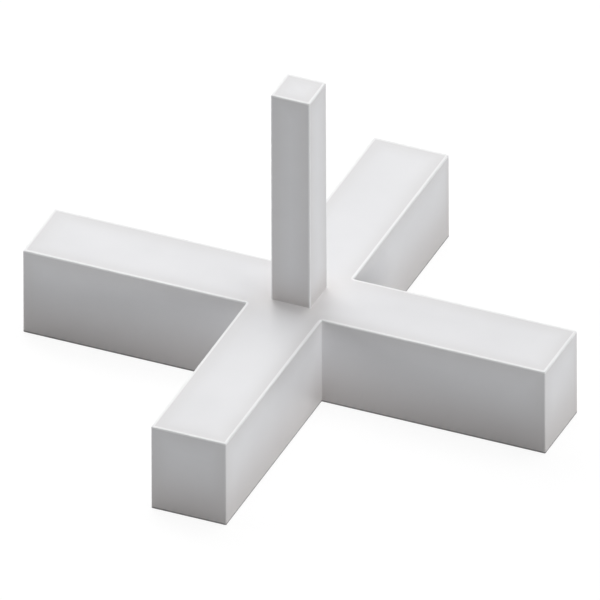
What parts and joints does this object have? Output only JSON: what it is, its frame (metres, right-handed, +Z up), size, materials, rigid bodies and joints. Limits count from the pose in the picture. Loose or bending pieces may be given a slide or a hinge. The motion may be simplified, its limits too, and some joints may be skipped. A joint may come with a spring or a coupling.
{
  "type": "tile spacer",
  "caption": "Cross-shaped plastic tile spacer with a square peg standing on the crossing to hold it by.",
  "frame": {"origin": "middle of the cross's underside", "axes": "+Z up along the peg, +X along the right-hand arm, -Y along the front arm, as in the picture"},
  "size_m": [0.0348, 0.0348, 0.021],
  "materials": {
    "plastic": "pale grey moulded plastic, satin to matte, with small rounded edges"
  },
  "bodies": {
    "root": {"tile_spacer": "plastic"}
  },
  "joints": []
}
